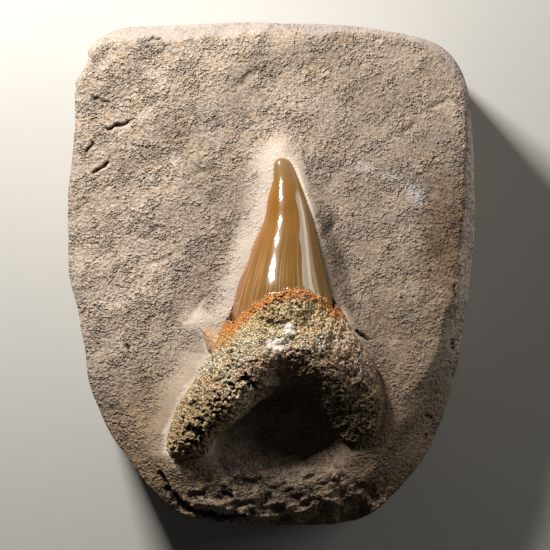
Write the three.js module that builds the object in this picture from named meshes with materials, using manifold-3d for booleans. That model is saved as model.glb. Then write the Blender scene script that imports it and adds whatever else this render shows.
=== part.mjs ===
// A fossil shark tooth lying in the block of limestone that it was found in.
// The block lies on its flat back. The tooth shows the face that was turned to the inside of the
// jaw, with its point towards +Y and its root towards -Y, and its back is buried in the stone.
// Millimetres, +Z up. The origin is in the middle of the block's back.

import * as THREE from 'three';
import { mergeVertices } from 'three/addons/utils/BufferGeometryUtils.js';
import Module from 'manifold-3d';

const wasm = await Module();
wasm.setup();

// ---- driving dimensions -------------------------------------------------------------------------

const BLOCK_WIDTH = 82; // X
const BLOCK_LENGTH = 101; // Y
const FACE_HEIGHT = 28; // the back to the worked face around the tooth
const BLOCK_SIDES = 84; // facets around the block
const BACK_CHAMFER = 2.5;
const SIDE_BELLY = 1.2; // the sides bulge by this much between back and face

const MOUND_HEIGHT = 2.2; // the stone rises this much to meet the tooth
const MOUND_REACH = 10;
const ARCH_HOLLOW = { x: 3.2, y: -31.5, reach: 11.5, depth: 4.2 }; // dug out between the lobes
const BROKEN_END = { from: -39, to: -47, drop: 7 }; // the rough, unworked end below the tooth

const WIDEST_LEVEL = 29.4; // the tooth is widest at this height, just under the stone around it
const SOCKET_GAP = 0.3; // all round the tooth, between it and the stone
const ROOT_SIDES = 28;
const ROOT_STEPS = 26;
const ROOT_LEAN = 0.16; // the root's ridge lies this share of its half width nearer the arch
const CROWN_SIDES = 28;
const CROWN_STEPS = 20;
const CAP_STEPS = 4; // rings in each rounded lobe end

// The block's outline seen from above, anticlockwise from the middle of its right side: a shield
// with a cut top-left corner, sides that draw in downwards, and a rough narrow end.
const BLOCK_OUTLINE = [
  [40.2, 0], [41, 10], [40.9, 20], [40.3, 30], [38.8, 39.5], [33.5, 46.2], [22, 49.2], [8, 50.6],
  [-8, 50.6], [-20, 50.2], [-27.8, 49.6], [-33.4, 48], [-37.2, 44.4], [-39, 38.6], [-39.5, 31],
  [-40.4, 23], [-41, 15], [-41, 5], [-39.9, -3], [-38.4, -12], [-36.6, -22], [-33, -31],
  [-28.4, -37.6], [-23.8, -43.6], [-19.4, -48], [-12, -49.8], [-3, -50.4], [8, -50.2],
  [17.4, -49], [22.8, -45.4], [27.8, -41.2], [32, -35.2], [35, -28], [37.3, -18], [39, -8],
];

// How far the worked edge between side and face runs in from the outline, and how far it drops, at
// equal steps around the block from +X, anticlockwise.
const EDGE_INSET = [3.8, 3.4, 2.2, 3.2, 4.2, 3.6, 3, 3.2, 3.6, 4, 5, 6, 5, 4.4, 4, 3.8];
const EDGE_DROP = [4.5, 4, 3, 3.4, 4, 3.6, 3.2, 3.4, 3.6, 4, 4.6, 5, 4.6, 4.2, 4.2, 4.5];

// Where each ring of the face lies, as a share of the way from the edge to the middle.
const FACE_RINGS = [0.09, 0.18, 0.27, 0.36, 0.44, 0.52, 0.6, 0.68, 0.76, 0.84, 0.92];

// Sections across the root from the end of its left lobe, over the middle, to the end of its right
// lobe. Each runs from a point on the root's outer side to one on its arch side.
// top and depth are above and below the tooth's widest level.
const ROOT_SECTIONS = [
  { outer: [-21.2, -34.4], inner: [-12.8, -35.2], top: 5.6, depth: 4.6 },
  { outer: [-19.8, -28.6], inner: [-9.8, -31.4], top: 8, depth: 5.6 },
  { outer: [-16.6, -22.6], inner: [-5.4, -28.2], top: 9.6, depth: 6.6 },
  { outer: [-12.8, -17], inner: [-0.9, -24.7], top: 10.6, depth: 7.2 },
  { outer: [-9.2, -9], inner: [2, -22.6], top: 11, depth: 7.6 },
  { outer: [-3.2, -2.4], inner: [3.2, -22.1], top: 11.2, depth: 7.8 },
  { outer: [3.8, 0.4], inner: [4.4, -22.1], top: 11.3, depth: 7.8 },
  { outer: [10.4, -2.4], inner: [5.6, -22.8], top: 11.2, depth: 7.6 },
  { outer: [15.9, -10.4], inner: [8, -24.8], top: 10.6, depth: 7.2 },
  { outer: [20, -16.6], inner: [10.6, -27.4], top: 9.6, depth: 6.6 },
  { outer: [22.3, -23], inner: [12, -30.4], top: 8.4, depth: 6 },
  { outer: [22.4, -28.6], inner: [13.2, -32], top: 7.2, depth: 5.2 },
];

// Sections across the crown from inside the root to just short of the point.
const CROWN_SECTIONS = [
  { left: [-4.6, -12.4], right: [10.6, -10.4], top: 5.4, depth: 3 },
  { left: [-7.9, -8.8], right: [12.8, -6], top: 8, depth: 4.2 },
  { left: [-6.4, -3], right: [11.4, -2], top: 8.5, depth: 4.2 },
  { left: [-4.3, 4], right: [10, 4.4], top: 7.7, depth: 3.6 },
  { left: [-2.2, 9.6], right: [8.9, 9.9], top: 6.4, depth: 3 },
  { left: [-0.9, 14.4], right: [7.4, 14.8], top: 5, depth: 2.5 },
  { left: [-0.1, 18.8], right: [5.7, 19], top: 3.6, depth: 1.9 },
  { left: [0.6, 21.8], right: [3.8, 21.9], top: 2, depth: 1.2 },
];
const CROWN_POINT = [2, 23.3];
const CROWN_FOOT = [3, -14];

// The small side point on the left shoulder of the root.
const CUSPLET = { foot: [-11.2, -15.2], tip: [-14.1, -10.8], halfWidth: 2.5, top: 2.6, depth: 1.4 };
const CUSPLET_SIDES = 10;

// ---- closed skins -------------------------------------------------------------------------------

// Joins rings of equal length, each anticlockwise as seen from the far pole, into one closed skin
// with a point at either end.
function skinOf(nearPole, rings, farPole) {
  const sides = rings[0].length;
  const points = [nearPole, ...rings.flat(), farPole];
  const last = points.length - 1;
  const index = [];
  for (let side = 0; side < sides; side++) {
    const next = (side + 1) % sides;
    index.push(0, 1 + next, 1 + side);
    for (let ring = 0; ring < rings.length - 1; ring++) {
      const low = 1 + ring * sides;
      const high = low + sides;
      index.push(low + side, low + next, high + next, low + side, high + next, high + side);
    }
    index.push(last - sides + side, last - sides + next, last);
  }
  const geometry = new THREE.BufferGeometry().setFromPoints(points);
  geometry.setIndex(index);
  return geometry;
}

function solidOf(geometry) {
  const merged = mergeVertices(geometry);
  return new wasm.Manifold(new wasm.Mesh({
    numProp: 3,
    vertProperties: merged.attributes.position.array,
    triVerts: new Uint32Array(merged.index.array),
  }));
}

function geometryOf(solid) {
  const mesh = solid.getMesh();
  const geometry = new THREE.BufferGeometry();
  geometry.setAttribute('position', new THREE.BufferAttribute(mesh.vertProperties, mesh.numProp));
  geometry.setIndex(new THREE.BufferAttribute(mesh.triVerts, 1));
  geometry.computeVertexNormals();
  return geometry;
}

function smoothStep(from, to, value) {
  return THREE.MathUtils.smoothstep((value - from) / (to - from), 0, 1);
}

// ---- the tooth ----------------------------------------------------------------------------------

// A curve through one corner of each section, with a height as its third number.
function railThrough(sections, corner, height) {
  return new THREE.CatmullRomCurve3(
    sections.map((section) => new THREE.Vector3(...section[corner], section[height])),
  );
}

// A rounded ring that stands across the tooth between two points: top above the widest level on
// one half, depth below it on the other. lean moves the ridge towards the first point.
function sectionRing(first, second, top, depth, sides, lean, grow) {
  const middle = new THREE.Vector2(first.x + second.x, first.y + second.y).multiplyScalar(0.5);
  const across = new THREE.Vector2(second.x - first.x, second.y - first.y);
  const halfWidth = across.length() / 2;
  across.normalize();
  const ring = [];
  for (let side = 0; side < sides; side++) {
    const angle = (2 * Math.PI * side) / sides;
    const rise = Math.sin(angle);
    const height = rise > 0 ? (top + grow) * rise : (depth + grow) * rise;
    const reach = (halfWidth + grow) * Math.cos(angle) - lean * halfWidth * Math.max(0, rise);
    ring.push(new THREE.Vector3(
      middle.x + across.x * reach,
      middle.y + across.y * reach,
      WIDEST_LEVEL + height,
    ));
  }
  return ring;
}

// The rings that round off a lobe past its last section, and the point that they close on.
function lobeEnd(first, second, top, depth, outwards, grow) {
  const middle = new THREE.Vector3(first.x + second.x, first.y + second.y, 0).multiplyScalar(0.5);
  const reach = 0.62 * Math.hypot(second.x - first.x, second.y - first.y) / 2 + grow;
  const rings = [];
  for (let step = 1; step < CAP_STEPS; step++) {
    const turn = (Math.PI / 2) * (step / CAP_STEPS);
    const shift = outwards.clone().multiplyScalar(reach * Math.sin(turn));
    const shrink = Math.cos(turn);
    const ends = [first, second].map((end) => end.clone().sub(middle).multiplyScalar(shrink)
      .add(middle).add(shift));
    rings.push(sectionRing(
      ends[0], ends[1], top * shrink, depth * shrink, ROOT_SIDES, ROOT_LEAN, grow * shrink));
  }
  const pole = middle.clone().add(outwards.clone().multiplyScalar(reach));
  pole.z = WIDEST_LEVEL;
  return { rings, pole };
}

function makeRoot(grow) {
  const outerRail = railThrough(ROOT_SECTIONS, 'outer', 'top');
  const innerRail = railThrough(ROOT_SECTIONS, 'inner', 'depth');
  const cuts = [];
  for (let step = 0; step <= ROOT_STEPS; step++) {
    const outer = outerRail.getPoint(step / ROOT_STEPS);
    const inner = innerRail.getPoint(step / ROOT_STEPS);
    const top = outer.z;
    const depth = inner.z;
    outer.z = 0;
    inner.z = 0;
    cuts.push({ outer, inner, top, depth });
  }
  const middleOf = (cut) => cut.outer.clone().add(cut.inner).multiplyScalar(0.5);
  const endOf = (cut, neighbour) => lobeEnd(
    cut.inner, cut.outer, cut.top, cut.depth,
    middleOf(cut).sub(middleOf(neighbour)).normalize(), grow);
  const left = endOf(cuts[0], cuts[1]);
  const right = endOf(cuts.at(-1), cuts.at(-2));
  const rings = [
    ...left.rings.reverse(),
    ...cuts.map((cut) => sectionRing(
      cut.inner, cut.outer, cut.top, cut.depth, ROOT_SIDES, ROOT_LEAN, grow)),
    ...right.rings,
  ];
  return solidOf(skinOf(left.pole, rings, right.pole));
}

function makeCrown(grow) {
  const leftRail = railThrough(CROWN_SECTIONS, 'left', 'top');
  const rightRail = railThrough(CROWN_SECTIONS, 'right', 'depth');
  const rings = [];
  for (let step = 0; step <= CROWN_STEPS; step++) {
    const left = leftRail.getPoint(step / CROWN_STEPS);
    const right = rightRail.getPoint(step / CROWN_STEPS);
    rings.push(sectionRing(right, left, left.z, right.z, CROWN_SIDES, 0, grow));
  }
  const foot = new THREE.Vector3(...CROWN_FOOT, WIDEST_LEVEL);
  const point = new THREE.Vector3(CROWN_POINT[0], CROWN_POINT[1] + grow, WIDEST_LEVEL);
  return solidOf(skinOf(foot, rings, point));
}

function makeCusplet(grow) {
  const foot = new THREE.Vector2(...CUSPLET.foot);
  const tip = new THREE.Vector2(...CUSPLET.tip);
  const along = tip.clone().sub(foot);
  const across = new THREE.Vector2(along.y, -along.x).setLength(CUSPLET.halfWidth);
  const ringAt = (share) => {
    const shrink = 1 - share;
    const middle = foot.clone().addScaledVector(along, share);
    const first = middle.clone().addScaledVector(across, shrink);
    const second = middle.clone().addScaledVector(across, -shrink);
    return sectionRing(
      first, second, CUSPLET.top * shrink, CUSPLET.depth * shrink, CUSPLET_SIDES, 0, grow);
  };
  const near = new THREE.Vector3(foot.x, foot.y, WIDEST_LEVEL);
  const far = new THREE.Vector3(tip.x, tip.y + grow, WIDEST_LEVEL);
  return solidOf(skinOf(near, [0, 0.35, 0.7, 0.92].map(ringAt), far));
}

function makeTooth(grow = 0) {
  return makeRoot(grow).add(makeCrown(grow)).add(makeCusplet(grow));
}

// ---- the block ----------------------------------------------------------------------------------

// A value that blends round the block through equally spaced ones.
function aroundBlock(values, angle) {
  const place = (THREE.MathUtils.euclideanModulo(angle, 2 * Math.PI) / (2 * Math.PI)) * values.length;
  const index = Math.floor(place) % values.length;
  const share = smoothStep(0, 1, place - Math.floor(place));
  return THREE.MathUtils.lerp(values[index], values[(index + 1) % values.length], share);
}

// Circles that fill the tooth's outline: how far a point on the face is from the tooth.
const TOOTH_CIRCLES = [
  ...ROOT_SECTIONS.map(({ outer, inner }) => [outer, inner]),
  ...CROWN_SECTIONS.map(({ left, right }) => [left, right]),
  [CROWN_POINT, CROWN_POINT],
].map(([first, second]) => ({
  x: (first[0] + second[0]) / 2,
  y: (first[1] + second[1]) / 2,
  radius: Math.hypot(first[0] - second[0], first[1] - second[1]) / 2,
}));

function distanceToTooth(x, y) {
  return Math.min(...TOOTH_CIRCLES.map((c) => Math.hypot(x - c.x, y - c.y) - c.radius));
}

// The height of the block's face: slow swells, the rise to the tooth, the hollow between the lobes
// and the drop to the broken end.
function faceHeight(x, y) {
  const swell = 0.45 * Math.sin(0.11 * x + 0.07 * y + 0.8) + 0.35 * Math.sin(0.16 * y - 0.09 * x);
  const mound = MOUND_HEIGHT * (1 - smoothStep(0, MOUND_REACH, distanceToTooth(x, y)));
  const fromHollow = Math.hypot(x - ARCH_HOLLOW.x, y - ARCH_HOLLOW.y);
  const hollow = ARCH_HOLLOW.depth * (1 - smoothStep(0, ARCH_HOLLOW.reach, fromHollow));
  const broken = BROKEN_END.drop * smoothStep(BROKEN_END.from, BROKEN_END.to, y);
  return FACE_HEIGHT + swell + mound - hollow - broken;
}

// The outline, centred and brought to the block's width and length.
function blockOutline() {
  const curve = new THREE.CatmullRomCurve3(
    BLOCK_OUTLINE.map(([x, y]) => new THREE.Vector3(x, y, 0)), true);
  const points = curve.getSpacedPoints(BLOCK_SIDES).slice(0, BLOCK_SIDES);
  const box = new THREE.Box3().setFromPoints(points);
  const middle = box.getCenter(new THREE.Vector3());
  const size = box.getSize(new THREE.Vector3());
  const scale = new THREE.Vector3(BLOCK_WIDTH / size.x, BLOCK_LENGTH / size.y, 1);
  return points.map((point) => point.sub(middle).multiply(scale));
}

function makeBlock() {
  const outline = blockOutline();
  const ringAt = (insetAt, heightAt) => outline.map((point) => {
    const angle = Math.atan2(point.y, point.x);
    const inner = point.clone().setLength(point.length() - insetAt(angle));
    return new THREE.Vector3(inner.x, inner.y, heightAt(angle, inner));
  });
  const edgeInset = (angle) => aroundBlock(EDGE_INSET, angle);
  const rimHeight = (angle, at) => faceHeight(at.x, at.y) - aroundBlock(EDGE_DROP, angle);
  const rings = [
    ringAt(() => SIDE_BELLY + BACK_CHAMFER, () => 0),
    ringAt(() => SIDE_BELLY, () => BACK_CHAMFER),
    ringAt(() => 0.3 * SIDE_BELLY, () => 0.3 * FACE_HEIGHT),
    ringAt(() => 0, () => 0.5 * FACE_HEIGHT),
    ringAt(() => 0.4 * SIDE_BELLY, rimHeight),
    ringAt((angle) => 0.45 * edgeInset(angle),
      (angle, at) => faceHeight(at.x, at.y) - 0.3 * aroundBlock(EDGE_DROP, angle)),
  ];
  const face = ringAt(edgeInset, (angle, at) => faceHeight(at.x, at.y));
  rings.push(face);
  for (const share of FACE_RINGS) {
    rings.push(face.map(({ x, y }) => {
      const near = new THREE.Vector2(x, y).multiplyScalar(1 - share);
      return new THREE.Vector3(near.x, near.y, faceHeight(near.x, near.y));
    }));
  }
  const middle = new THREE.Vector3(0, 0, faceHeight(0, 0));
  return solidOf(skinOf(new THREE.Vector3(0, 0, 0), rings, middle));
}

// ---- the object ---------------------------------------------------------------------------------

const stone = new THREE.MeshStandardMaterial({ color: 0xb8a28b, roughness: 0.95, metalness: 0 });
const enamelAndBone = new THREE.MeshStandardMaterial({
  color: 0xb98a54, roughness: 0.4, metalness: 0,
});

const block = new THREE.Mesh(geometryOf(makeBlock().subtract(makeTooth(SOCKET_GAP))), stone);
block.name = 'matrix_block';

const tooth = new THREE.Mesh(geometryOf(makeTooth()), enamelAndBone);
tooth.name = 'tooth';

const fossil = new THREE.Group();
fossil.add(block, tooth);

export default fossil;
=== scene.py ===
import math

import bpy
import numpy as np
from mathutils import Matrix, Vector, noise
from mathutils.bvhtree import BVHTree


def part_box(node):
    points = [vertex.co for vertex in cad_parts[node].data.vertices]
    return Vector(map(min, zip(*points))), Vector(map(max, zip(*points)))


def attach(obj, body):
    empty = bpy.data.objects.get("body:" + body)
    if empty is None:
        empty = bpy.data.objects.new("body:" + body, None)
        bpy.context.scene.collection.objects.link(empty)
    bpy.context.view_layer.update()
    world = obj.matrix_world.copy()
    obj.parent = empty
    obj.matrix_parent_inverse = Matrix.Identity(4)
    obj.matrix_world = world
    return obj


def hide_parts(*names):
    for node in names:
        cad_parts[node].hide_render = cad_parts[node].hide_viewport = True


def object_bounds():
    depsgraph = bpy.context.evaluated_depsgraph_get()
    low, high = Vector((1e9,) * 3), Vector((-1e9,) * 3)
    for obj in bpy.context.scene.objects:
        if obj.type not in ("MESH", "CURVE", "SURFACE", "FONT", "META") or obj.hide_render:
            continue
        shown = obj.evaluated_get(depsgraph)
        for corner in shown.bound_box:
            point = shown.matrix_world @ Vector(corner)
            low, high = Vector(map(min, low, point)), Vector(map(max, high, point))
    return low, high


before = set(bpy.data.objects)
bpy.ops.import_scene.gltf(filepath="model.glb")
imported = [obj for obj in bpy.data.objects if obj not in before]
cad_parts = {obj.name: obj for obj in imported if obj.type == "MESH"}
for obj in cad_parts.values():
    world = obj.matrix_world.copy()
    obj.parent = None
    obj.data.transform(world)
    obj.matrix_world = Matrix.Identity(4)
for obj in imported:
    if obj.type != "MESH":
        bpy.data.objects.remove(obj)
cad_low, cad_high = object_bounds()


# ---- the camera ---------------------------------------------------------------------------------
# The specimen lies on its back, and the camera looks straight down on its worked face from well
# above, with the tooth's point at the top of the picture.

MM = 0.001
CAMERA_RISE = 0.6
PICTURE_SHARE = 0.918  # the block's length takes this share of the picture's height
AIM_X, AIM_Y = 0.7, -0.2  # where the camera points, in mm from the middle of the block

eye = bpy.data.cameras.new("eye")
eye.lens = eye.sensor_width * CAMERA_RISE * PICTURE_SHARE / (cad_high.y - cad_low.y)
camera = bpy.data.objects.new("camera", eye)
camera.location = (AIM_X * MM, AIM_Y * MM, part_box("matrix_block")[1].z + CAMERA_RISE)
bpy.context.scene.collection.objects.link(camera)
bpy.context.scene.camera = camera


# ---- the root -----------------------------------------------------------------------------------
# The root is old bone turned to mineral: a thick arch with two lobes, highest along the edge over
# the notch, and eaten into by pores of every size. It grew as one with the crown.

TOOTH_LEVEL = 29.4  # mm above the back, where the tooth is widest

# Cuts across the root in mm, from the end of the left lobe over the middle to the end of the right
# one: the notch side's corner, the outer side's corner, how far the bone stands above the level,
# and how far its ridge lies from the middle of the cut towards the notch, as a share of its half.
ROOT_CUTS = [
    ((-15.2, -37.3), (-18.4, -37.2), 1.2, 0.1),
    ((-13.2, -36.8), (-20.9, -36.5), 2.9, 0.1),
    ((-11.9, -34.2), (-21.6, -33.6), 5.3, 0.12),
    ((-9.4, -31.2), (-19.9, -28.4), 7.4, 0.15),
    ((-5.2, -28.2), (-16.6, -22.6), 9.0, 0.15),
    ((-0.9, -24.7), (-12.9, -17.0), 10.4, 0.1),
    ((2.0, -22.6), (-9.3, -8.6), 11.2, 0.1),
    ((3.2, -22.1), (-4.0, 0.4), 11.4, 0.24),
    ((4.4, -22.1), (3.8, 4.6), 11.4, 0.3),
    ((5.6, -22.8), (9.8, 0.4), 11.0, 0.22),
    ((8.0, -24.8), (15.9, -10.2), 9.2, 0.0),
    ((10.6, -27.4), (20.0, -16.6), 6.9, 0.0),
    ((12.0, -30.2), (22.4, -23.0), 4.6, 0.0),
    ((13.2, -32.4), (22.5, -28.4), 2.9, -0.1),
    ((14.8, -33.6), (21.4, -31.6), 1.7, -0.1),
    ((16.6, -34.0), (19.8, -33.2), 0.8, 0.0),
]
# The root's height across a cut, from its outer side to the notch: the notch side falls away.
ROOT_DOME = [
    (-1, 0), (-0.95, 0.36), (-0.85, 0.63), (-0.6, 0.86), (-0.35, 0.955), (-0.1, 0.99), (0.12, 1),
    (0.24, 0.975), (0.38, 0.9), (0.6, 0.74), (0.85, 0.53), (0.95, 0.34), (1, 0),
]
HIDDEN_BELOW = 26.5  # mm above the back: most bone under this is buried, so few points do
SMOOTH_BELOW = TOOTH_LEVEL - 2  # mm above the back: the bone under this is left smooth
ROOT_GRAIN = 0.19  # mm between the points that the root's pores are cut with
SOCKET_SKIN = 0.3  # mm that the socket in the stone is smaller than the tooth all round


def root_dome(across):
    return float(np.interp(across, *zip(*ROOT_DOME)))


def sweep(name, cuts, corners, dome, depth):
    """Draws a closed skin through upright cuts: a bar that is extruded, turned and resized from
    each cut to the next, and whose ridge is then moved across each cut. dome gives its height for
    a place across it, and depth is its underside as a share of its top."""
    def place(cut):
        across = Vector(cut[0]) - Vector(cut[1])
        middle = (Vector(cut[0]) + Vector(cut[1])) / 2
        return (Vector((*middle, TOOTH_LEVEL)) * MM, math.atan2(across.y, across.x),
                across.length / 2 * MM, cut[2] * MM)

    bpy.ops.object.select_all(action="DESELECT")
    bpy.ops.mesh.primitive_circle_add(
        vertices=corners, radius=1, fill_type="NGON", rotation=(math.pi / 2, 0, 0))
    bar = bpy.context.object
    bar.name = bar.data.name = name
    bpy.ops.object.transform_apply(location=True, rotation=True, scale=True)
    for corner in bar.data.vertices:
        rise = dome(max(-1, min(1, corner.co.x)))
        corner.co.z = rise if corner.co.z > 0 else -depth * rise
    bpy.ops.object.mode_set(mode="EDIT")
    bpy.ops.mesh.select_all(action="SELECT")
    middle, turn, half, top = place(cuts[0])
    bpy.ops.transform.resize(value=(half, half, top), center_override=(0, 0, 0))
    bpy.ops.transform.rotate(value=-turn, orient_axis="Z", center_override=(0, 0, 0))
    bpy.ops.transform.translate(value=middle)
    for cut in cuts[1:]:
        before = middle, turn, half, top
        middle, turn, half, top = place(cut)
        bpy.ops.mesh.extrude_region_move(TRANSFORM_OT_translate={"value": middle - before[0]})
        bpy.ops.transform.rotate(
            value=before[1] - turn, orient_axis="Z", center_override=middle)
        wider, taller = half / before[2], top / before[3]
        bpy.ops.transform.resize(value=(wider, wider, taller), center_override=middle)
    bpy.ops.mesh.select_all(action="SELECT")
    bpy.ops.mesh.normals_make_consistent(inside=False)
    bpy.ops.object.mode_set(mode="OBJECT")
    for number, cut in enumerate(cuts):
        across = (Vector((*cut[0], 0)) - Vector((*cut[1], 0))) / 2 * MM
        for corner in bar.data.vertices[number * corners:(number + 1) * corners]:
            share = max(0, corner.co.z / MM - TOOTH_LEVEL) / cut[2]
            corner.co += across * cut[3] * share ** 2
    return bar


def finish_with(piece, kind, **settings):
    """Gives the piece a modifier of that kind, and applies it."""
    modifier = piece.modifiers.new(kind, kind)
    for name, value in settings.items():
        setattr(modifier, name, value)
    bpy.ops.object.select_all(action="DESELECT")
    bpy.context.view_layer.objects.active = piece
    bpy.ops.object.modifier_apply(modifier=modifier.name)


def core_of(piece, skin):
    """A copy of the piece, smaller by skin all round, that the stone is hollowed out with. The
    tooth's surface then passes a little way into the stone, and no gap shows round it."""
    core = piece.copy()
    core.data = piece.data.copy()
    bpy.context.scene.collection.objects.link(core)
    bpy.ops.object.select_all(action="DESELECT")
    bpy.context.view_layer.objects.active = core
    bpy.ops.object.mode_set(mode="EDIT")
    bpy.ops.mesh.select_all(action="SELECT")
    bpy.ops.transform.shrink_fatten(value=-skin)
    bpy.ops.object.mode_set(mode="OBJECT")
    return core


def carve(piece, rise_at, upright=False):
    """Moves each point of the piece along its normal, or upright, by rise_at(point, normal) in mm."""
    mesh = piece.data
    places = [vertex.co / MM for vertex in mesh.vertices]
    normals = [entry.vector.copy() for entry in mesh.vertex_normals]
    moved = [
        (at + (Vector((0, 0, 1)) if upright else normal) * rise_at(at, normal)) * MM
        for at, normal in zip(places, normals)
    ]
    mesh.vertices.foreach_set("co", np.array(moved, np.float32).ravel())
    mesh.update()


def note(piece, name, value_at):
    """Writes value_at(point in mm) on each of the piece's points, for its material to read."""
    values = [value_at(vertex.co / MM) for vertex in piece.data.vertices]
    mark = piece.data.attributes.new(name, "FLOAT", "POINT")
    mark.data.foreach_set("value", np.array(values, np.float32))


def step(low, high, value):
    """0 below low, 1 above high, smooth between."""
    share = min(1, max(0, (value - low) / (high - low)))
    return share * share * (3 - 2 * share)


def groove(at, start, end, width):
    """How deep, from 0 to 1, a point is in a straight groove between two places on the face."""
    line = Vector(end) - Vector(start)
    share = min(1, max(0, (at.xy - Vector(start)).dot(line) / line.length_squared))
    return 1 - step(0, width / 2, (at.xy - Vector(start) - line * share).length)


BONE_HOLLOWS = [  # start, end, width, depth
    ((-5.2, -20.6), (-3.2, -22.2), 2.0, 1.3),
    ((-8.6, -21.8), (-7.4, -22.6), 1.3, 0.9),
    ((-13.4, -20.0), (-15.8, -23.8), 0.9, 0.6),
    ((-13.8, -29.2), (-13.8, -29.3), 1.2, 1.0),
    ((-13.6, -33.0), (-13.6, -33.1), 1.2, 1.0),
    ((-15.2, -33.8), (-15.2, -33.9), 1.2, 1.0),
    ((-16.6, -30.6), (-14.2, -31.8), 2.6, 0.9),
]


def gaps(at, size, low, high):
    """How deep, from 0 to 1, a point is in the winding gaps of a sponge with struts of that size."""
    return step(low, high, noise.noise(at / size))


def crusted(at):
    """Where a smooth pale crust fills the bone's gaps: 1 inside and 0 outside."""
    ragged = 0.35 * noise.noise(at / 0.8)
    lean = 0.5 * (at.y + 13.8)
    high = 1 - step(0.6, 1.1, math.hypot((at.x - 3.5) / 1.3, (at.y + 11.0) / 1.9) + ragged)
    low = 1 - step(0.6, 1.1, math.hypot((at.x - 0.9 - lean) / 2.6, (at.y + 13.8) / 1.7) + ragged)
    lip = 0.5 - 0.5 * step(0.6, 1.1, math.hypot((at.x - 0.2) / 2.1, (at.y + 21.2) / 1.1) + ragged)
    return max(high, low, lip)


def bone_wear(at):
    """How far the bone is eaten away at a point, in mm."""
    if at.z < SMOOTH_BELOW:
        return 0
    wander = at + 0.35 * noise.noise_vector(at * 0.9)
    spongy = step(1, -12, at.x + 0.45 * at.y + 9)
    broad = 0.5 + 0.7 * noise.noise(at / 4 + Vector((9, 2, 4)))
    large = gaps(wander, 1.25, 0.08, 0.5)
    middling = gaps(wander + Vector((7, 1, 3)), 0.72, 0.02, 0.42)
    small = gaps(at + Vector((2, 8, 5)), 0.42, 0.0, 0.4)
    bent = at + 0.9 * noise.noise_vector(at * 1.3)
    hollows = sum(depth * groove(bent, start, end, width)
                  for start, end, width, depth in BONE_HOLLOWS)
    eaten = ((0.05 + 1.1 * spongy * max(0, broad)) * large + (0.12 + 0.42 * spongy) * middling
             + 0.2 * small + hollows)
    return eaten * (1 - 0.9 * crusted(at))


def bone_relief(at, normal):
    if at.z < SMOOTH_BELOW:
        return 0
    lumps = 0.45 * noise.fractal(at * 0.2, 0.8, 2, 3) + 0.2 * noise.fractal(at * 0.8, 0.5, 2, 3)
    return lumps - bone_wear(at)


root = sweep("tooth_root", ROOT_CUTS, 32, root_dome, 0.66)
finish_with(root, "SUBSURF", levels=2, render_levels=2)
root_core = core_of(root, SOCKET_SKIN * MM)
finish_with(root, "REMESH", mode="VOXEL", voxel_size=ROOT_GRAIN * MM, use_smooth_shade=True)


# ---- the crown ----------------------------------------------------------------------------------
# The crown is the enamelled blade: a flattened cone, domed on this side, with a cutting edge down
# both sides, smooth and glossy from its point to where the root begins.

# Cuts across the crown in mm, from inside the root to the point: right edge, left edge, height, and
# how far the ridge lies off the middle.
CROWN_CUTS = [
    ((9.0, -13.0), (-3.6, -14.0), 6.0, 0),
    ((12.3, -8.4), (-7.2, -11.0), 11.2, 0),
    ((12.7, -5.6), (-8.5, -8.4), 12.1, -0.04),
    ((11.7, -2.8), (-7.4, -4.4), 11.7, -0.06),
    ((10.7, 1.2), (-5.8, 0.5), 9.8, -0.08),
    ((10.0, 4.6), (-4.4, 4.2), 8.3, -0.08),
    ((9.25, 7.9), (-2.9, 7.6), 6.93, -0.08),
    ((8.4, 11.6), (-1.65, 11.3), 5.4, -0.08),
    ((7.35, 14.8), (-0.85, 14.5), 4.05, -0.06),
    ((6.05, 18.2), (-0.3, 18.0), 2.8, -0.04),
    ((5.05, 20.8), (0.0, 20.6), 1.85, 0),
    ((4.1, 22.3), (0.25, 22.2), 1.25, 0),
    ((2.9, 23.2), (1.1, 23.2), 0.6, 0),
]
# The dome of the crown from its left edge to its right one: a flat runs down its right side.
CROWN_DOME = [
    (-1, 0), (-0.94, 0.26), (-0.8, 0.55), (-0.6, 0.78), (-0.4, 0.915), (-0.2, 0.985), (0, 1),
    (0.2, 0.98), (0.38, 0.93), (0.5, 0.885), (0.71, 0.735), (0.8, 0.645), (0.9, 0.48), (1, 0),
]


def crown_dome(across):
    return float(np.interp(across, *zip(*CROWN_DOME)))


def enamel_edge(x):
    """Where the enamel stops and the root begins, in mm, along the tooth at a place across it."""
    # The edge is lowest at its two ends, past which it runs straight on.
    off = max(-13, min(7.5, x - 5))
    return -3.0 - (0.042 if off < 0 else 0.07) * off ** 2


def enamel_waves(at, normal):
    swing = 0.12 * step(6.5, 3, at.x) * (1 + 0.7 * step(5, 14, at.y))
    along = -swing * math.sin(math.tau * (at.y - 0.3) / 8.3)
    fold = 0.06 * groove(at, (6.0, 5.6), (6.2, -4.0), 0.7)
    uneven = 0.03 * noise.noise(Vector((at.x / 4, at.y / 4, 3))) + 0.008 * noise.noise(at / 1.5)
    return along + fold + uneven


def sink_below_edge(at, normal):
    past = at.y - enamel_edge(at.x)
    return -1.6 * step(-0.9, -2.4, past) if normal.z > 0 else 0


def skin_of(piece):
    return BVHTree.FromObject(piece, bpy.context.evaluated_depsgraph_get())


crown = sweep("tooth_crown", CROWN_CUTS, 48, crown_dome, 0.4)
finish_with(crown, "SUBSURF", levels=2, render_levels=2)
crown_core = core_of(crown, SOCKET_SKIN * MM)
carve(crown, enamel_waves)
crown_skin = skin_of(crown)
carve(crown, sink_below_edge, upright=True)


WELL_ABOVE = 60  # mm above the back, clear of everything


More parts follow.
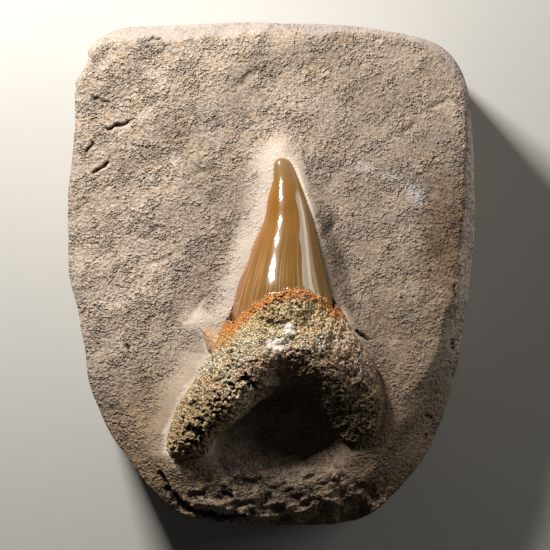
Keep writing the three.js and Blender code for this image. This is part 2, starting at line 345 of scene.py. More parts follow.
def meet_enamel(at, normal):
    """Lifts the bone just over the enamel up to the enamel's edge, and sinks it beyond that."""
    if at.z < TOOTH_LEVEL - 0.5 or normal.z < 0.1:
        return 0
    ragged = 0.5 * noise.noise(Vector((at.x / 1.4, at.y / 1.4, 1))) + 0.2 * noise.noise(at / 0.5)
    past = at.y - enamel_edge(at.x) + ragged
    hit = crown_skin.ray_cast(Vector((at.x, at.y, WELL_ABOVE)) * MM, Vector((0, 0, -1)))[0]
    if hit is None:
        return min(0, TOOTH_LEVEL + 0.7 - at.z) * step(0, 0.8, past)
    over = hit.z / MM - at.z
    if past > 0:
        return min(0, over - 0.8 * step(0, 0.5, past) + 0.3)
    above = over + 0.3 * step(-4, -0.5, past)
    return (above + math.sqrt(above ** 2 + 0.3)) / 2 * step(-14, -9, past)


carve(root, meet_enamel, upright=True)
# How deep the bone is eaten, for the painted shade in its pores.
note(root, "painted_pore_shade", bone_wear)
note(root, "crust", crusted)
carve(root, bone_relief)
underside = root.vertex_groups.new(name="underside")
underside.add([v.index for v in root.data.vertices if v.co.z < HIDDEN_BELOW * MM], 1, "REPLACE")
finish_with(root, "DECIMATE", ratio=0.6, vertex_group="underside")


# ---- the side point -----------------------------------------------------------------------------
# One small side point is left on the root's left shoulder, a flat splinter of the same enamel.

CUSPLET_CUTS = [
    ((-8.4, -14.2), (-12.6, -16.6), 1.5, 0),
    ((-9.3, -12.7), (-13.1, -14.8), 1.5, 0),
    ((-11.5, -12.0), (-13.5, -13.0), 1.3, 0),
    ((-13.0, -11.2), (-13.9, -11.6), 1.1, 0),
    ((-13.9, -10.6), (-14.2, -10.7), 0.9, 0),
]


def cusplet_dome(across):
    return (1 - across ** 4) ** 0.5


cusplet = sweep("tooth_side_point", CUSPLET_CUTS, 12, cusplet_dome, 0.5)
finish_with(cusplet, "SUBSURF", levels=1, render_levels=1)
CUSPLET_SKIN = 0.2  # mm: it is too thin for as much as the rest
cusplet_core = core_of(cusplet, CUSPLET_SKIN * MM)


# ---- the whole tooth ----------------------------------------------------------------------------
# Root, crown and side point grew as one tooth, so they are joined into one closed skin. Its bone is
# matt, stained by the ground and rusty along the enamel; it is painted dark at the right lobe, partly
# stained and partly painted shade, and painted shade darkens it under the notch, in its pores and in
# its pits. Its enamel is hard and glossy, with fine lines along it and a painted reflection down its
# right side, and dull on the side point.


class Finish:
    """A material, with short ways to add the shader nodes that make it."""

    def __init__(self, name):
        self.material = bpy.data.materials.new(name)
        self.material.use_nodes = True
        self.tree = self.material.node_tree
        self.surface = self.tree.nodes["Principled BSDF"]
        spot = self.add("TexCoord").node.outputs["Object"]
        self.place = self.add(
            "VectorMath", {0: spot, "Scale": 1 / MM}, operation="SCALE")

    def add(self, kind, inputs=None, **settings):
        made = self.tree.nodes.new("ShaderNode" + kind)
        for name, value in settings.items():
            setattr(made, name, value)
        for name, value in (inputs or {}).items():
            self.put(made.inputs[name], value)
        return made.outputs[0]

    def put(self, socket, value):
        if isinstance(value, bpy.types.NodeSocket):
            self.tree.links.new(value, socket)
        else:
            socket.default_value = value

    def set(self, **inputs):
        for name, value in inputs.items():
            self.put(self.surface.inputs[name.replace("_", " ").title()], value)

    def math(self, operation, first, second=0.0, third=0.0):
        return self.add("Math", {0: first, 1: second, 2: third}, operation=operation)

    def noise(self, place, size, detail=2.0, roughness=0.5):
        """Soft noise, from 0 to 1, with lumps of about that size in mm."""
        return self.add("TexNoise", {
            "Vector": place, "Scale": 1 / size, "Detail": detail, "Roughness": roughness})

    def between(self, value, low, high, start=0.0, end=1.0):
        return self.add("MapRange", {
            "Value": value, "From Min": low, "From Max": high, "To Min": start, "To Max": end},
            interpolation_type="SMOOTHSTEP")

    def turned(self, centre, turn=0.0, size=(1, 1, 1)):
        """The place measured from a centre, along turned axes and in units of size."""
        return self.add("Mapping", {
            "Vector": self.place, "Location": centre, "Rotation": (0, 0, turn), "Scale": size},
            vector_type="TEXTURE")

    def patch(self, centre, radii, turn=0.0, soft=0.6, ragged=None):
        """1 inside an oval on the face and 0 outside, with a soft edge that noise makes ragged."""
        reach = self.add("VectorMath", {
            0: self.turned((*centre, 0), turn, (*radii, 1e4))}, operation="LENGTH")
        reach = reach.node.outputs["Value"]
        if ragged is not None:
            reach = self.math("ADD", reach, ragged)
        return self.between(reach, 1 + soft, 1 - soft)

    def mix(self, share, under, over, blend="MIX"):
        mixed = self.add("Mix", {0: share, 6: under, 7: over}, data_type="RGBA",
                         blend_type=blend, clamp_result=True)
        return mixed.node.outputs[2]

    def mark(self, name):
        made = self.add("Attribute", attribute_name=name)
        return made.node.outputs["Fac"]

    def bump(self, height, depth, under=None):
        inputs = {"Height": height, "Distance": depth * MM, "Strength": 1.0}
        if under is not None:
            inputs["Normal"] = under
        return self.add("Bump", inputs)


def make_bone():
    bone = Finish("bone")
    fine = bone.noise(bone.place, 0.36, 2, 0.7)
    pitted = bone.between(bone.noise(bone.place, 0.55, 2, 0.6), 0.5, 0.62)
    broad = bone.noise(bone.place, 4, 3, 0.6)
    ragged = bone.math("MULTIPLY_ADD", bone.noise(bone.place, 1.3, 3, 0.7), 1.8, -0.9)
    colour = bone.mix(bone.between(broad, 0.38, 0.62), (0.94, 0.58, 0.34, 1), (1.0, 0.76, 0.56, 1))
    tint = bone.between(bone.noise(bone.place, 2.2, 3, 0.65), 0.44, 0.6)
    colour = bone.mix(bone.math("MULTIPLY", tint, 0.5), colour, (0.98, 0.60, 0.32, 1))
    ochre = bone.patch((1, -7), (12, 5), 0, 0.7, ragged)
    colour = bone.mix(bone.math("MULTIPLY", ochre, 0.8), colour, (1.0, 0.62, 0.30, 1))
    margin = bone.patch((-7.6, -8.4), (4.6, 1.6), 1.0, 0.7, ragged)
    colour = bone.mix(margin, colour, (0.85, 0.40, 0.10, 1))
    below = bone.mark("below_enamel")
    rust = bone.between(bone.math("MULTIPLY_ADD", ragged, 1.5, below), 3.2, 0.8)
    side = bone.patch((-10.2, -13.2), (2.6, 1.4), 0.5, 0.6, ragged)
    colour = bone.mix(side, colour, (0.85, 0.40, 0.12, 1))
    olive = bone.between(bone.mark("lobes"), 0.05, 0.9, 0, 0.8)
    colour = bone.mix(olive, colour, (0.52, 0.38, 0.17, 1))
    # The right lobe is painted dark brown: partly stained, partly painted shade where it turns from
    # the light.
    stain_and_lobe_shade = bone.patch((15.5, -28), (9.5, 13), 0.2, 0.6, ragged)
    colour = bone.mix(bone.math("MULTIPLY", stain_and_lobe_shade, 0.9), colour, (0.14, 0.092, 0.04, 1))
    # Painted shade: the bone under the ridge, on the notch side, is painted dark brown where it turns
    # from the light.
    notch = bone.patch((4.5, -21), (8, 5), 0, 0.6, ragged)
    colour = bone.mix(bone.math("MULTIPLY", notch, 0.65), colour, (0.22, 0.15, 0.08, 1))
    for centre, radius in (((5.3, -3.7), 0.75), ((1.9, -3.5), 0.4), ((-1.4, -5.0), 0.45)):
        ring = bone.patch(centre, (radius, radius * 0.8), 0, 0.25)
        colour = bone.mix(ring, colour, (0.95, 0.82, 0.66, 1))
        core = bone.patch(centre, (radius * 0.45, radius * 0.35), 0, 0.3)
        colour = bone.mix(core, colour, (0.6, 0.36, 0.2, 1))
    # Fine flecks of the bone's own colour, made darker in the bumped pits as painted shade.
    specks_and_pit_shade = bone.between(fine, 0.37, 0.53, 0.33, 1.4)
    specks_and_pit_shade = bone.math("MULTIPLY", specks_and_pit_shade, bone.between(pitted, 0, 1, 1, 0.5))
    specks_and_pit_shade = bone.math("MAXIMUM", specks_and_pit_shade, bone.math("MULTIPLY", ochre, 0.6))
    specks_and_pit_shade = bone.add("CombineColor", {0: specks_and_pit_shade, 1: specks_and_pit_shade, 2: specks_and_pit_shade})
    colour = bone.mix(1.0, colour, specks_and_pit_shade, "MULTIPLY")
    rust_tone = bone.mix(
        bone.between(fine, 0.42, 0.62), (0.72, 0.17, 0.02, 1), (1.0, 0.48, 0.11, 1))
    colour = bone.mix(bone.math("MULTIPLY", rust, 0.9), colour, rust_tone)
    # Painted shade: the bone is painted near black where it is eaten deepest, in its pores.
    painted_pore_shade = bone.between(bone.mark("painted_pore_shade"), 0.3, 0.9)
    colour = bone.mix(painted_pore_shade, colour, (0.045, 0.03, 0.018, 1))
    dusty = bone.between(below, -0.2, -0.9)
    colour = bone.mix(dusty, colour, (0.54, 0.46, 0.385, 1))
    crust = bone.mark("crust")
    colour = bone.mix(crust, colour, (0.82, 0.72, 0.61, 1))
    relief = bone.math("MULTIPLY_ADD", pitted, -0.45, fine)
    relief = bone.math("MULTIPLY", relief, bone.between(crust, 0, 1, 1, 0.2))
    bone.set(base_color=colour, roughness=0.75, normal=bone.bump(relief, 1.6))
    return bone.material


def make_enamel():
    enamel = Finish("enamel")
    across = enamel.mark("across")
    along = enamel.mark("along")
    lines = enamel.add("CombineXYZ", {0: across, 1: along})

    def streaks(crosswise, lengthwise, detail):
        """Noise drawn out along the crown: crosswise and lengthwise say how many there are."""
        spread = enamel.add(
            "VectorMath", {0: lines, 1: (crosswise, lengthwise, 1)}, operation="MULTIPLY")
        return enamel.add("TexNoise", {
            "Vector": spread, "Scale": 1.0, "Detail": detail, "Roughness": 0.6})

    colour = enamel.mix(
        enamel.between(across, -0.8, 0.2), (0.225, 0.099, 0.013, 1), (0.185, 0.089, 0.018, 1))
    olive = enamel.between(across, 0.6, 0.9)
    colour = enamel.mix(olive, colour, (0.31, 0.165, 0.026, 1))
    left = enamel.between(across, -0.72, -0.96)
    colour = enamel.mix(left, colour, (0.30, 0.10, 0.016, 1))
    point = enamel.between(along, 0.78, 0.96, 0, 0.7)
    colour = enamel.mix(point, colour, (0.24, 0.15, 0.075, 1))
    base = enamel.between(along, 0.7, 0.0)
    broad = enamel.between(streaks(7, 1.2, 2), 0.4, 0.62)
    colour = enamel.mix(enamel.math("MULTIPLY", broad, 0.35), colour, (0.12, 0.055, 0.014, 1))
    fine = enamel.between(streaks(34, 1.6, 3), 0.46, 0.64)
    colour = enamel.mix(enamel.math("MULTIPLY", fine, enamel.math("MULTIPLY_ADD", base, 0.5, 0.1)),
                        colour, (0.09, 0.055, 0.03, 1))
    pale = enamel.between(streaks(26, 1.1, 3), 0.5, 0.66)
    colour = enamel.mix(enamel.math("MULTIPLY", pale, enamel.math("MULTIPLY", base, 0.6)),
                        colour, (0.40, 0.29, 0.18, 1))
    # A pale streaked strip down the crown's right side: a painted reflection, under the side light's
    # own.
    painted_reflection_band = enamel.math(
        "MULTIPLY", enamel.between(across, 0.5, 0.56), enamel.between(across, 0.78, 0.7))
    painted_reflection_band = enamel.math("MULTIPLY", painted_reflection_band, enamel.between(along, 0.8, 0.7))
    painted_reflection_band = enamel.math(
        "MULTIPLY", painted_reflection_band, enamel.between(streaks(20, 0.8, 2), 0.35, 0.6, 0.15, 0.6))
    colour = enamel.mix(painted_reflection_band, colour, (0.46, 0.36, 0.23, 1))
    enamel.set(base_color=colour, roughness=0.3)
    enamel.surface.inputs["Specular IOR Level"].default_value = 0.15
    worn_edge = enamel.math("MULTIPLY", enamel.between(across, -0.95, -0.6, 0.2, 1),
                            enamel.between(across, 0.88, 0.78, 0.1, 1))
    worn_point = enamel.between(point, 0.1, 0.7, 1, 0.35)
    beside = enamel.math(
        "MULTIPLY", enamel.between(along, 0.72, 0.82), enamel.between(across, 0.3, 0.5))
    worn_point = enamel.math("MULTIPLY", worn_point, enamel.between(beside, 0, 1, 1, 0.15))
    enamel.set(coat_weight=enamel.math("MULTIPLY", worn_edge, worn_point))
    enamel.surface.inputs["Coat Roughness"].default_value = 0.04
    enamel.surface.inputs["Subsurface Weight"].default_value = 0.1
    enamel.surface.inputs["Subsurface Scale"].default_value = 1.0 * MM
    enamel.surface.inputs["Subsurface Radius"].default_value = (1.0, 0.5, 0.25)
    return enamel.material


def make_dull_enamel():
    dull = Finish("dull_enamel")
    worn = dull.noise(dull.place, 0.7, 3, 0.6)
    colour = dull.mix(dull.between(worn, 0.4, 0.6), (0.36, 0.21, 0.11, 1), (0.50, 0.33, 0.19, 1))
    dull.set(base_color=colour, roughness=0.55, normal=dull.bump(worn, 0.3))
    return dull.material


finishes = [make_bone(), make_enamel(), make_dull_enamel()]
for part in (root, crown, cusplet):
    part.data.materials.clear()
    for finish in finishes:
        part.data.materials.append(finish)
for number, part in enumerate((crown, cusplet), 1):
    for face in part.data.polygons:
        face.material_index = number
    finish_with(root, "BOOLEAN", operation="UNION", solver="MANIFOLD", object=part)
    bpy.data.objects.remove(part)
tooth = root
tooth.name = tooth.data.name = "fossil_tooth"
for face in tooth.data.polygons:
    face.use_smooth = True


def crown_span(y):
    """The crown's left and right edges in mm at a place along it."""
    left = np.interp(y, [cut[1][1] for cut in CROWN_CUTS], [cut[1][0] for cut in CROWN_CUTS])
    right = np.interp(y, [cut[0][1] for cut in CROWN_CUTS], [cut[0][0] for cut in CROWN_CUTS])
    return left, right


def across_crown(at):
    left, right = crown_span(at.y)
    return (2 * at.x - left - right) / (right - left)


note(tooth, "across", across_crown)
CROWN_START, CROWN_LENGTH = -6, 29  # mm along the tooth, for the marks on the enamel

note(tooth, "along", lambda at: (at.y - CROWN_START) / CROWN_LENGTH)
note(tooth, "below_enamel", lambda at: enamel_edge(at.x) - at.y)
note(tooth, "lobes", lambda at: step(-15, -32, at.y) * step(6, 12, abs(at.x - 1.5)))
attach(tooth, "root")
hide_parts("tooth")


# ---- the matrix block ---------------------------------------------------------------------------
# The block is the sandy limestone that the tooth lay in. Its face was scraped down to the tooth
# with hand tools, smoothly close to it and roughly elsewhere; its sides were cut and its lower end
# was broken.

# The outline from above in mm, anticlockwise from the middle of the right side.
BLOCK_OUTLINE = [
    (40.2, 0), (41, 10), (40.9, 20), (40.3, 30), (38.8, 39.5), (33.5, 46.2), (22, 49.2),
    (8, 50.5), (-8, 50.7), (-20, 50.2), (-28.6, 49.7), (-34, 47.8), (-36.9, 45.3),
    (-37, 43.3), (-39.2, 39.3), (-39.5, 37), (-39.5, 31), (-40.3, 23), (-41, 15), (-41, 5),
    (-39.9, -3), (-38.4, -12), (-36.6, -22), (-33, -31), (-28.4, -37.6), (-23.8, -43.6),
    (-19.4, -48), (-12, -49.8),
    (-3, -50.9), (8, -50.9), (17.4, -49.9), (23.2, -45.8), (27.8, -41.2), (32, -35.2),
    (35, -28), (37.7, -18), (39.2, -8),
]
HALF_WIDTH, HALF_LENGTH = 41, 50.5
FACE_HEIGHT = 28
FACE_FROM = 20  # mm above the back: under this there are only the sides
# The cut edge between face and side, at equal steps round the block from +X: how far in it starts,
# how far it drops to the side, and how smooth it is.
EDGE_INSET = [3.0, 2.8, 1.6, 1.6, 2.8, 3.8, 1.6, 2.2, 2, 3.0, 5, 4, 2, 7, 9, 5]
EDGE_DROP = [3.2, 3.0, 1.4, 1.3, 2.3, 2.9, 1, 0.6, 0.5, 1.0, 2.4, 2.4, 1.6, 3.2, 4.8, 4.2]
EDGE_SMOOTH = [0.8, 0.8, 1, 0.8, 0.8, 1, 0.3, 0.1, 0.1, 0.2, 0.1, 0, 0, 0, 0.1, 0.5]
FACE_CELLS = (250, 308)
SIDE_ROWS = 14
BACK_FLAT = 0.3  # mm above the back, up to which nothing is moved
FAR = 20  # mm from the tooth, for what is on the sides
SCRAPE = math.radians(38)  # the tool marks run up to the right

FACE_SLITS = [  # start, end, width, depth: narrow, and painted near black inside as shade
    ((-33.0, 29.0), (-31.0, 29.7), 0.8, 1.0),
    ((-31.3, 29.8), (-29.0, 30.3), 1.1, 1.0),
    ((-29.0, 30.4), (-27.7, 31.1), 0.7, 0.8),
    ((-37.3, 24.7), (-35.8, 26.2), 0.8, 0.7),
    ((-35.7, 20.2), (-33.0, 22.2), 0.8, 0.8),
    ((-36.0, 35.2), (-34.7, 35.6), 0.8, 0.5),
    ((-34.0, 34.9), (-32.5, 34.4), 0.8, 0.5),
    ((-25.9, 46.8), (-22.5, 47.6), 0.7, 0.4),
    ((-29.2, -14.6), (-28.8, -14.9), 1.2, 0.6),
    ((31.4, -28.4), (32.2, -29.4), 1.0, 0.4),
    ((31.2, -32.7), (31.4, -33.1), 0.8, 0.3),
    ((36.7, -2.4), (37.2, -4.8), 0.8, 0.8),
    ((36.6, -13.4), (36.7, -15.2), 0.9, 0.7),
    ((17.1, -11.5), (19.2, -13.4), 0.8, 1.1),
    ((-22.2, -40.1), (-20.8, -43.6), 1.2, 1.6),
    ((-20.8, -43.6), (-18.6, -46.3), 1.5, 2.0),
    ((-18.6, -46.3), (-16.8, -47.6), 1.5, 2.0),
    ((-16.8, -47.6), (-9.8, -48.8), 1.3, 1.6),
    ((-9.8, -48.8), (-5.3, -48.9), 1.0, 1.2),
    ((-9.9, -43.6), (-8.2, -44.8), 1.6, 1.2),
]
TORN_PLACES = [  # start, end, width, depth: broad, with torn grain in them
    ((-27.6, 32.4), (-23.6, 34.6), 3.6, 0.4),
    ((-6.4, 38.0), (-3.6, 40.6), 3.0, 0.4),
    ((-13.9, 25.0), (-13.4, 26.6), 1.8, 0.3),
    ((-14.6, 20.2), (-11.8, 21.2), 2.0, 0.3),
    ((26.2, 28.8), (28.8, 30.0), 2.2, 0.4),
    ((31.8, 33.4), (35.0, 34.8), 1.6, 0.4),
    ((-31.2, 11.0), (-30.2, -5.0), 4.6, 0.4),
    ((-17.2, -9.6), (-13.6, -4.6), 1.8, 0.3),
    ((-25.6, 7.0), (-23.2, 9.2), 1.6, 0.3),
    ((-24.6, 1.8), (-18.4, 4.4), 1.4, 0.25),
    ((10.9, 7.6), (12.2, 9.8), 2.6, 0.3),
    ((17.4, -43.2), (21.4, -45.4), 4.4, 0.6),
]


def outline_radius(outline):
    """The distance from the middle to a rounded closed line through the points, for any angle."""
    points = np.array(outline, float)
    before, after, beyond = (np.roll(points, -turn, 0) for turn in (-1, 1, 2))
    dense = []
    for share in np.linspace(0, 1, 12, endpoint=False):
        dense.append(0.5 * (
            2 * points + (after - before) * share
            + (2 * before - 5 * points + 4 * after - beyond) * share ** 2
            + (3 * points - before - 3 * after + beyond) * share ** 3))
    line = np.stack(dense, 1).reshape(-1, 2)
    angles = np.arctan2(line[:, 1], line[:, 0]) % math.tau
    order = np.argsort(angles)
    radii = np.hypot(line[:, 0], line[:, 1])
    return lambda angle: np.interp(angle % math.tau, angles[order], radii[order], period=math.tau)


def around(values, angle):
    """A value that runs smoothly round the block through equally spaced ones."""
    place = angle % math.tau / math.tau * len(values)
    share = step(0, 1, place % 1)
    before, after = int(place) % len(values), (int(place) + 1) % len(values)
    return values[before] * (1 - share) + values[after] * share


reach_at = outline_radius(BLOCK_OUTLINE)
tooth_skin = skin_of(tooth)


def from_tooth(at):
    """How far a place on the face is from the tooth, in mm."""
    return tooth_skin.find_nearest(Vector((at.x, at.y, TOOTH_LEVEL)) * MM)[3] / MM


def closeness(at):
    """The distance from the tooth, counted less left of the root, where more was smoothed, and
    more on the right, where little was."""
    right = step(5, 9, at.x)
    lobe_side = 3 * step(8, 14, at.x) * step(-14, -20, at.y)
    scale = (1 + 3 * right) / (1 + 0.2 * step(-4, -14, at.y) * (1 - right))
    arch = 4 * step(14, 10, math.hypot(at.x - 2, at.y + 34)) + 4 * step(-36, -38.5, at.y)
    return from_tooth(at) * scale + lobe_side + arch + 0.5 * noise.noise(at.xy.to_3d() / 3)


def face_height(x, y, near):
    """The height in mm of the worked face, without its fine relief."""
    angle = math.atan2(y, x)
    from_edge = float(reach_at(angle)) - math.hypot(x, y)
    inset = around(EDGE_INSET, angle) + 0.8 * noise.noise(Vector((x / 6, y / 6, 2)))
    edge = around(EDGE_DROP, angle) * max(0, 1 - from_edge / inset) ** 1.15
    swell = 0.3 * math.sin(0.11 * x + 0.07 * y + 0.8) + 0.25 * math.sin(0.16 * y - 0.09 * x)
    collar = 2.0 * (1 - step(0.2, 5.6, near + 0.6 * noise.noise(Vector((x / 5, y / 5, 8)))))
    collar *= 1 + 0.2 * step(4, 8, x) - 0.8 * step(8, 14, x) * step(-10, -20, y)
    collar *= 1 - 0.35 * step(0, -6, x) * step(-8, -14, y)
    inside = 1 - step(11, 15, math.hypot(x - 2, y + 34))
    hollow = 5.2 * (1 - step(2, 14, math.hypot(0.9 * (x - 3.8), y + 29.5)))
    past = -35.5 - 0.012 * (x - 3) ** 2 - y + 2 * noise.noise(Vector((x / 6, y / 9, 0)))
    lip = 1.3 * step(-35, -41, y) * step(22, 10, abs(x + 2))
    slope = 0.1 * max(0, past)
    ledges = (past - 7.4) / 3.4
    broken = 0 if ledges < 0 else 0.8 * (math.floor(ledges) + step(0.5, 1, ledges % 1))
    broken += step(1, 6, past) * noise.fractal(Vector((x / 3.4, y / 2.4, 6)), 0.7, 2, 4)
    return FACE_HEIGHT + swell + collar * (1 - inside) + lip - hollow - edge - slope - broken


def cut_share(at):
    """1 on the sawn sides and edges of the block and 0 on its face and its broken end."""
    angle = math.atan2(at.y, at.x)
    from_edge = float(reach_at(angle)) - math.hypot(at.x, at.y)
    inset = around(EDGE_INSET, angle) + 0.8 * noise.noise(Vector((at.x / 6, at.y / 6, 2)))
    smooth = around(EDGE_SMOOTH, angle) if at.z > FACE_HEIGHT - 6 else 1
    return step(1, 0.7, from_edge / inset) * step(-44, -36, at.y) * smooth


def pores(at, spacing, width, share):
    """How deep, from 0 to 1, a point is in a scatter of round pores of about that spacing and
    width, which this share of the places have."""
    near, centres = noise.voronoi(at / spacing)
    chance = 0.5 + 0.5 * noise.cell(centres[0] * 7.3)
    if chance > share:
        return 0
    radius = width / spacing * (0.35 + 0.3 * noise.cell(centres[0] * 3.1 + Vector((5, 5, 5))))
    return step(0, 1, 1 - near[0] / max(radius, 0.05))


def make_block():
    bpy.ops.object.select_all(action="DESELECT")
    bpy.ops.mesh.primitive_grid_add(
        x_subdivisions=FACE_CELLS[0], y_subdivisions=FACE_CELLS[1], size=2,
        location=(0, 0, 1))
    block = bpy.context.object
    block.name = block.data.name = "matrix_stone"
    bpy.ops.object.transform_apply(location=True, rotation=True, scale=True)
    bpy.ops.object.mode_set(mode="EDIT")
    bpy.ops.mesh.select_mode(type="EDGE")
    bpy.ops.mesh.select_all(action="DESELECT")
    bpy.ops.mesh.select_non_manifold()
    for _ in range(SIDE_ROWS):
        bpy.ops.mesh.extrude_edges_move(
            TRANSFORM_OT_translate={"value": (0, 0, -1 / SIDE_ROWS)})
    bpy.ops.mesh.edge_face_add()
    bpy.ops.mesh.select_all(action="SELECT")
    bpy.ops.mesh.normals_make_consistent(inside=False)
    bpy.ops.object.mode_set(mode="OBJECT")
    return block


def shape_block(block):
    """Draws the square block out to its outline and its heights."""
    for vertex in block.data.vertices:
        u, v, level = vertex.co
        angle = math.atan2(v * HALF_LENGTH, u * HALF_WIDTH)
        share = max(abs(u), abs(v))
        rounder = float(reach_at(angle - 0.07) + reach_at(angle) + reach_at(angle + 0.07)) / 3
        reach = share * (rounder + (float(reach_at(angle)) - rounder) * step(0.65, 0.95, level))
        x, y = reach * math.cos(angle), reach * math.sin(angle)
        tuck = 1
        if level < 0.999:
            belly = math.sin(math.pi * (0.15 + 0.7 * level))
            tuck = 1 - 0.012 * (1 - belly) - 0.02 * step(0.1, 0, level)
        z = level * face_height(x, y, from_tooth(Vector((x, y))))
        vertex.co = Vector((x * tuck, y * tuck, z)) * MM
    block.data.update()


def deepest(at, places):
    """How deep, from 0 to 1, a point is in the grooves that lie at those places."""
    wander = at + 0.5 * noise.noise_vector(at * 0.7)
    return max(groove(wander, start, end, width) for start, end, width, _ in places)


def stone_relief(at, normal):
    """The tool marks, the waves and the pits of the stone, in mm; its back stays flat."""
    if at.z < BACK_FLAT:
        return 0
    near = closeness(at) if at.z > FACE_FROM else FAR
    rough = (0.12 + 0.88 * step(0.5, 9, near)) * (1 - 0.7 * cut_share(at))
    rough *= 1 + 0.25 * step(0, -30, at.x) - 0.25 * step(0, 30, at.x)
    along = at.x * math.cos(SCRAPE) + at.y * math.sin(SCRAPE)
    over = at.y * math.cos(SCRAPE) - at.x * math.sin(SCRAPE)
    torn = 0.35 + 1.1 * step(-0.15, 0.35, noise.noise(Vector((along / 6, over / 4, 1))))
    marks = torn * noise.fractal(at / 2.6, 0.8, 2, 3)
    broad = noise.noise(Vector((along / 11, over / 7, 5)))
    pits = torn * pores(at + 0.4 * noise.noise_vector(at), 1.7, 1.1, 0.3)
    hollows = 0
    if normal.z > 0.5:
        wander = at + 0.5 * noise.noise_vector(at * 0.7)
        hollows = sum(depth * groove(wander, start, end, width)
                      for start, end, width, depth in FACE_SLITS + TORN_PLACES)
    return rough * (0.11 * marks + 0.6 * broad - 0.15 * pits) - hollows


block = make_block()
shape_block(block)
carve(block, stone_relief)
for core in (root_core, crown_core, cusplet_core):
    finish_with(block, "BOOLEAN", operation="DIFFERENCE", solver="MANIFOLD", object=core)
    bpy.data.objects.remove(core)
for face in block.data.polygons:
    face.use_smooth = True


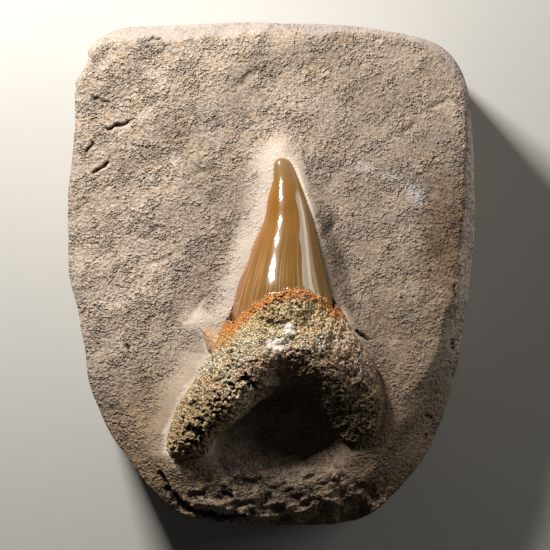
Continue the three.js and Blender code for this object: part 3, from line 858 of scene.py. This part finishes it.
def make_limestone():
    stone = Finish("limestone")
    near = stone.mark("near_tooth")
    cut = stone.mark("cut")
    scraped = stone.turned((0, 0, 0), SCRAPE, (1.5, 1, 1))
    sand = stone.noise(stone.place, 0.38, 1, 0.5)
    grain = stone.noise(stone.place, 0.7, 2, 0.5)
    lumps = stone.noise(stone.place, 1.4, 2, 0.5)
    clusters = stone.noise(scraped, 3.4, 3, 0.65)
    broad = stone.noise(scraped, 9, 3, 0.6)
    ragged = stone.math("MULTIPLY_ADD", stone.noise(stone.place, 2.5, 4, 0.65), 1.6, -0.8)
    plain = stone.math(
        "MULTIPLY", stone.between(near, 0.8, 6.5, 0.2, 1.0), stone.between(cut, 0, 1, 1, 0.4))
    rough = stone.math("MULTIPLY", plain, stone.between(clusters, 0.42, 0.66, 0.4, 2.4))
    rough = stone.math("MULTIPLY", rough, stone.mark("worn"))
    rough = stone.math("MULTIPLY", rough, stone.between(
        stone.noise(stone.place, 0.9, 2, 0.5), 0.35, 0.66, 0.5, 1.5))
    colour = stone.mix(
        stone.between(broad, 0.35, 0.65), (0.29, 0.233, 0.183, 1), (0.375, 0.298, 0.235, 1))
    ochre = stone.between(stone.noise(stone.place, 3.2, 4, 0.7), 0.52, 0.66, 0, 0.5)
    colour = stone.mix(ochre, colour, (0.35, 0.24, 0.135, 1))
    brown = stone.patch((36, 7), (6, 14), 0, 0.6, ragged)
    colour = stone.mix(stone.math("MULTIPLY", brown, 0.9), colour, (0.13, 0.083, 0.047, 1))
    pale = stone.patch((-29, 0), (12, 20), 0, 0.7, ragged)
    colour = stone.mix(stone.math("MULTIPLY", pale, 0.6), colour, (0.42, 0.34, 0.27, 1))
    dull = stone.patch((26, 32), (13, 15), 0, 0.7, ragged)
    colour = stone.mix(stone.math("MULTIPLY", dull, 0.4), colour, (0.22, 0.175, 0.135, 1))
    shadow = stone.patch((-12, 8), (6, 13), -0.3, 0.7, ragged)
    colour = stone.mix(stone.math("MULTIPLY", shadow, 0.5), colour, (0.22, 0.178, 0.142, 1))
    end = stone.patch((-2, -47), (28, 6.5), 0, 0.5, ragged)
    colour = stone.mix(stone.math("MULTIPLY", end, 0.6), colour, (0.17, 0.12, 0.072, 1))
    # Darker and browner towards the lower right: a browner tone, and painted shade for the light
    # falling off there.
    corner = stone.patch((25, -38), (13, 9), 0.6, 0.6, ragged)
    colour = stone.mix(stone.math("MULTIPLY", corner, 0.5), colour, (0.15, 0.105, 0.065, 1))
    low = stone.patch((27, -34), (26, 30), 0.3, 0.6, ragged)
    colour = stone.mix(stone.math("MULTIPLY", low, 0.7), colour, (0.17, 0.115, 0.07, 1))
    warm = stone.patch((-25, -36), (14, 13), 0.6, 0.6, ragged)
    colour = stone.mix(stone.math("MULTIPLY", warm, 0.7), colour, (0.23, 0.148, 0.078, 1))
    for centre, radii, turn in (((19.0, 21.2), (2.2, 0.8), -0.3), ((24.6, 19.4), (2.2, 0.7), -0.3),
                                ((28.8, 15.8), (2.4, 1.6), -0.8)):
        chalk = stone.patch(centre, radii, turn, 0.5, ragged)
        colour = stone.mix(stone.math("MULTIPLY", chalk, 0.6), colour, (0.47, 0.44, 0.41, 1))
    colour = stone.mix(stone.math("MULTIPLY", cut, 0.5), colour, (0.31, 0.28, 0.275, 1))
    facet = stone.patch((41.5, 0), (5.5, 34), 0, 0.3, ragged)
    facet = stone.math(
        "MULTIPLY", stone.math("MULTIPLY", facet, cut), stone.between(grain, 0.4, 0.6, 0.45, 1))
    colour = stone.mix(facet, colour, (0.54, 0.45, 0.37, 1))
    # Painted shade: the slope right of the crown, turned from the light, is painted dark brown.
    slope = stone.patch((13, 2), (2.0, 11.5), 0.28, 0.5, ragged)
    colour = stone.mix(stone.math("MULTIPLY", slope, 0.75), colour, (0.15, 0.108, 0.075, 1))
    collar = stone.between(near, 5.0, 0.6)
    collar = stone.math("MULTIPLY", collar, stone.between(stone.mark("beside_crown"), 0, 1, 0.2, 1))
    colour = stone.mix(collar, colour, (0.48, 0.412, 0.345, 1))
    rim = stone.between(near, 1.2, 0.2)
    colour = stone.mix(rim, colour, (0.56, 0.475, 0.40, 1))
    speck = stone.patch((17.6, -5.9), (0.42, 0.17), 0.9, 0.3)
    colour = stone.mix(speck, colour, (0.02, 0.035, 0.06, 1))
    pits = stone.between(stone.noise(stone.place, 0.7, 2, 0.5), 0.56, 0.68)
    torn = stone.math("MAXIMUM", stone.between(clusters, 0.52, 0.64, 0.05, 1.0), stone.mark("torn"))
    pits = stone.math("MULTIPLY", pits, torn)
    height = stone.math("MULTIPLY_ADD", sand, 0.8, grain)
    height = stone.math("MULTIPLY_ADD", lumps, 0.7, height)
    height = stone.math("SUBTRACT", height, 1.25)
    height = stone.math("MULTIPLY_ADD", pits, -0.4, height)
    # Light and dark flecks of the grain's own colour, with painted shade in the pits.
    shade = stone.between(stone.math("MULTIPLY_ADD", sand, 1.4, grain), 0.85, 1.55, -0.35, 0.27)
    shade = stone.math("MULTIPLY_ADD", pits, -0.45, shade)
    shade = stone.math("MULTIPLY_ADD", shade, plain, 1.0)
    shade = stone.add("CombineColor", {0: shade, 1: shade, 2: shade})
    colour = stone.mix(1.0, colour, shade, "MULTIPLY")
    # Painted shade: the narrow slits are painted near black.
    painted_slit_shade = stone.between(stone.mark("painted_slit_shade"), 0.15, 0.75)
    colour = stone.mix(painted_slit_shade, colour, (0.05, 0.034, 0.022, 1))
    height = stone.math("MULTIPLY", height, rough)
    sawn = stone.noise(stone.turned((0, 0, 0), 0, (1, 1, 6)), 0.7, 2, 0.5)
    height = stone.math("MULTIPLY_ADD", stone.math("MULTIPLY", sawn, cut), 0.2, height)
    stone.set(base_color=colour, roughness=0.95, normal=stone.bump(height, 0.56))
    stone.surface.inputs["Specular IOR Level"].default_value = 0.25
    return stone.material


note(block, "near_tooth", lambda at: closeness(at) if at.z > FACE_FROM else FAR)
note(block, "cut", cut_share)
note(block, "worn", lambda at: (1 + 0.15 * step(0, -30, at.x) - 0.1 * step(-10, 25, at.x)
                                + 1.5 * step(36, 38, at.x) + 1.2 * step(-38, -43, at.y)))
note(block, "beside_crown", lambda at: step(-14, -8, at.y) * (1 - 0.7 * step(1, 3, at.x)))
# The slits, for the painted shade in them.
note(block, "painted_slit_shade", lambda at: deepest(at, FACE_SLITS) if at.z > FACE_FROM else 0)
note(block, "torn", lambda at: deepest(at, TORN_PLACES) if at.z > FACE_FROM else 0)
block.data.materials.clear()
block.data.materials.append(make_limestone())
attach(block, "root")
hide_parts("matrix_block")


# ---- the studio ---------------------------------------------------------------------------------
# A plain pale floor, one soft light from the top left, a narrow one from the right that draws the
# second line down the crown over a painted reflection there, and a little light from all round.

FLOOR_SIZE = 6

bpy.ops.object.select_all(action="DESELECT")
bpy.ops.mesh.primitive_plane_add(size=FLOOR_SIZE)
floor = bpy.context.object
floor.name = "floor"
pale = bpy.data.materials.new("pale_floor")
pale.use_nodes = True
pale.node_tree.nodes["Principled BSDF"].inputs["Base Color"].default_value = (0.46, 0.45, 0.43, 1)
pale.node_tree.nodes["Principled BSDF"].inputs["Roughness"].default_value = 0.9
floor.data.materials.append(pale)


LIT_SPOT = Vector((0.003, 0.003, 0.03))  # in m: a spot on the crown, which the lights face


def soft_light(name, width, length, azimuth, elevation, distance, watts, colour):
    """A soft light over the tooth: azimuth is anticlockwise from +X and elevation from the face."""
    lamp = bpy.data.lights.new(name, "AREA")
    lamp.shape = "RECTANGLE"
    lamp.size, lamp.size_y = width, length
    lamp.energy = watts
    lamp.color = colour
    light = bpy.data.objects.new(name, lamp)
    azimuth, elevation = math.radians(azimuth), math.radians(elevation)
    away = Vector((math.cos(azimuth) * math.cos(elevation), math.sin(azimuth) * math.cos(elevation),
                   math.sin(elevation)))
    light.location = LIT_SPOT + distance * away
    light.rotation_euler = away.to_track_quat("Z", "Y").to_euler()
    light.visible_camera = False
    bpy.context.scene.collection.objects.link(light)


soft_light("key", 0.045, 0.06, 122, 32, 0.24, 1.3, (1, 0.97, 0.92))
soft_light("side", 0.34, 0.2, 25, 15, 0.5, 0.9, (1, 0.97, 0.92))

air = bpy.data.worlds.new("air")
air.use_nodes = True
air.node_tree.nodes["Background"].inputs["Color"].default_value = (1, 1, 1, 1)
air.node_tree.nodes["Background"].inputs["Strength"].default_value = 0.03
bpy.context.scene.world = air
bpy.context.scene.view_settings.view_transform = "Standard"
